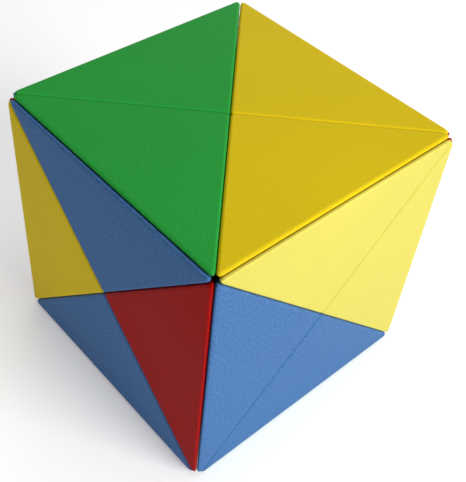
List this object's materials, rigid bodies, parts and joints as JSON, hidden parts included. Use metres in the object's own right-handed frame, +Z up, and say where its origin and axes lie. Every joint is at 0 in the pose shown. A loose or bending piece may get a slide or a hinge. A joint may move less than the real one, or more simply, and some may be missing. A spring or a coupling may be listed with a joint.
{
  "type": "pyramid block puzzle",
  "caption": "Cube puzzle of equal magnetic pyramid blocks in four colours; a diagonal half can be twisted and every block pulls off.",
  "frame": {"origin": "centre of the bottom face of the cube's bounding box, on the surface it stands on", "axes": "+Z up; +X out of the right face; -Y out of the front face"},
  "size_m": [0.06, 0.06, 0.06],
  "materials": {
    "green_plastic": "moulded plastic, fine spark-eroded texture, green",
    "yellow_plastic": "moulded plastic, fine spark-eroded texture, yellow",
    "blue_plastic": "moulded plastic, fine spark-eroded texture, blue",
    "red_plastic": "moulded plastic, fine spark-eroded texture, red",
    "magnet_plating": "nickel-plated disc magnet"
  },
  "bodies": {
    "top_front": {"top_front_green_shell": "green_plastic", "top_front_green_magnets": "magnet_plating"},
    "top_right": {"top_right_yellow_shell": "yellow_plastic", "top_right_yellow_magnets": "magnet_plating"},
    "top_rear": {"top_rear_yellow_shell": "yellow_plastic", "top_rear_yellow_magnets": "magnet_plating"},
    "top_left": {"top_left_green_shell": "green_plastic", "top_left_green_magnets": "magnet_plating"},
    "front_top": {"front_top_blue_shell": "blue_plastic", "front_top_blue_magnets": "magnet_plating"},
    "front_right": {"front_right_red_shell": "red_plastic", "front_right_red_magnets": "magnet_plating"},
    "front_bottom": {"front_bottom_blue_shell": "blue_plastic", "front_bottom_blue_magnets": "magnet_plating"},
    "front_left": {"front_left_yellow_shell": "yellow_plastic", "front_left_yellow_magnets": "magnet_plating"},
    "right_top": {"right_top_yellow_shell": "yellow_plastic", "right_top_yellow_magnets": "magnet_plating"},
    "right_rear": {"right_rear_yellow_shell": "yellow_plastic", "right_rear_yellow_magnets": "magnet_plating"},
    "right_bottom": {"right_bottom_blue_shell": "blue_plastic", "right_bottom_blue_magnets": "magnet_plating"},
    "right_front": {"right_front_blue_shell": "blue_plastic", "right_front_blue_magnets": "magnet_plating"},
    "rear_top": {"rear_top_red_shell": "red_plastic", "rear_top_red_magnets": "magnet_plating"},
    "rear_right": {"rear_right_red_shell": "red_plastic", "rear_right_red_magnets": "magnet_plating"},
    "rear_bottom": {"rear_bottom_green_shell": "green_plastic", "rear_bottom_green_magnets": "magnet_plating"},
    "rear_left": {"rear_left_red_shell": "red_plastic", "rear_left_red_magnets": "magnet_plating"},
    "left_top": {"left_top_blue_shell": "blue_plastic", "left_top_blue_magnets": "magnet_plating"},
    "left_front": {"left_front_red_shell": "red_plastic", "left_front_red_magnets": "magnet_plating"},
    "left_bottom": {"left_bottom_green_shell": "green_plastic", "left_bottom_green_magnets": "magnet_plating"},
    "left_rear": {"left_rear_green_shell": "green_plastic", "left_rear_green_magnets": "magnet_plating"},
    "underside_front": {"underside_front_red_shell": "red_plastic", "underside_front_red_magnets": "magnet_plating"},
    "underside_right": {"underside_right_green_shell": "green_plastic", "underside_right_green_magnets": "magnet_plating"},
    "underside_rear": {"underside_rear_yellow_shell": "yellow_plastic", "underside_rear_yellow_magnets": "magnet_plating"},
    "underside_left": {"underside_left_blue_shell": "blue_plastic", "underside_left_blue_magnets": "magnet_plating"}
  },
  "joints": [
    {"name": "half_turn", "type": "hinge", "parent": "underside_left", "child": "right_bottom", "pos_m": [0, 0, 0.03], "axis": [0.7071, 0, 0.7071], "continuous": true},
    {"name": "lift_top_front", "type": "slide", "parent": "right_bottom", "child": "top_front", "axis": [0, -0.4472, 0.8944], "range_m": [0, 0.04]},
    {"name": "lift_top_right", "type": "slide", "parent": "right_bottom", "child": "top_right", "axis": [0.4472, 0, 0.8944], "range_m": [0, 0.04]},
    {"name": "lift_top_rear", "type": "slide", "parent": "right_bottom", "child": "top_rear", "axis": [0, 0.4472, 0.8944], "range_m": [0, 0.04]},
    {"name": "lift_top_left", "type": "slide", "parent": "right_bottom", "child": "top_left", "axis": [-0.4472, 0, 0.8944], "range_m": [0, 0.04]},
    {"name": "pull_front_top", "type": "slide", "parent": "right_bottom", "child": "front_top", "axis": [0, -0.8944, 0.4472], "range_m": [0, 0.04]},
    {"name": "pull_front_right", "type": "slide", "parent": "right_bottom", "child": "front_right", "axis": [0.4472, -0.8944, 0], "range_m": [0, 0.04]},
    {"name": "pull_front_bottom", "type": "slide", "parent": "underside_left", "child": "front_bottom", "axis": [0, -1, 0], "range_m": [0, 0.04]},
    {"name": "pull_front_left", "type": "slide", "parent": "underside_left", "child": "front_left", "axis": [-0.4472, -0.8944, 0], "range_m": [0, 0.04]},
    {"name": "pull_right_top", "type": "slide", "parent": "right_bottom", "child": "right_top", "axis": [0.8944, 0, 0.4472], "range_m": [0, 0.04]},
    {"name": "pull_right_rear", "type": "slide", "parent": "right_bottom", "child": "right_rear", "axis": [0.8944, 0.4472, 0], "range_m": [0, 0.04]},
    {"name": "pull_right_front", "type": "slide", "parent": "right_bottom", "child": "right_front", "axis": [0.8944, -0.4472, 0], "range_m": [0, 0.04]},
    {"name": "pull_rear_top", "type": "slide", "parent": "right_bottom", "child": "rear_top", "axis": [0, 0.8944, 0.4472], "range_m": [0, 0.04]},
    {"name": "pull_rear_right", "type": "slide", "parent": "right_bottom", "child": "rear_right", "axis": [0.4472, 0.8944, 0], "range_m": [0, 0.04]},
    {"name": "pull_rear_bottom", "type": "slide", "parent": "underside_left", "child": "rear_bottom", "axis": [0, 1, 0], "range_m": [0, 0.04]},
    {"name": "pull_rear_left", "type": "slide", "parent": "underside_left", "child": "rear_left", "axis": [-0.4472, 0.8944, 0], "range_m": [0, 0.04]},
    {"name": "pull_left_top", "type": "slide", "parent": "underside_left", "child": "left_top", "axis": [-0.8944, 0, 0.4472], "range_m": [0, 0.04]},
    {"name": "pull_left_front", "type": "slide", "parent": "underside_left", "child": "left_front", "axis": [-0.8944, -0.4472, 0], "range_m": [0, 0.04]},
    {"name": "pull_left_bottom", "type": "slide", "parent": "underside_left", "child": "left_bottom", "axis": [-1, 0, 0], "range_m": [0, 0.04]},
    {"name": "pull_left_rear", "type": "slide", "parent": "underside_left", "child": "left_rear", "axis": [-0.8944, 0.4472, 0], "range_m": [0, 0.04]},
    {"name": "take_underside_front", "type": "slide", "parent": "underside_left", "child": "underside_front", "axis": [0, -0.4472, -0.8944], "range_m": [0, 0.04]},
    {"name": "take_underside_right", "type": "slide", "parent": "underside_left", "child": "underside_right", "axis": [0.4472, 0, -0.8944], "range_m": [0, 0.04]},
    {"name": "take_underside_rear", "type": "slide", "parent": "underside_left", "child": "underside_rear", "axis": [0, 0.4472, -0.8944], "range_m": [0, 0.04]}
  ]
}
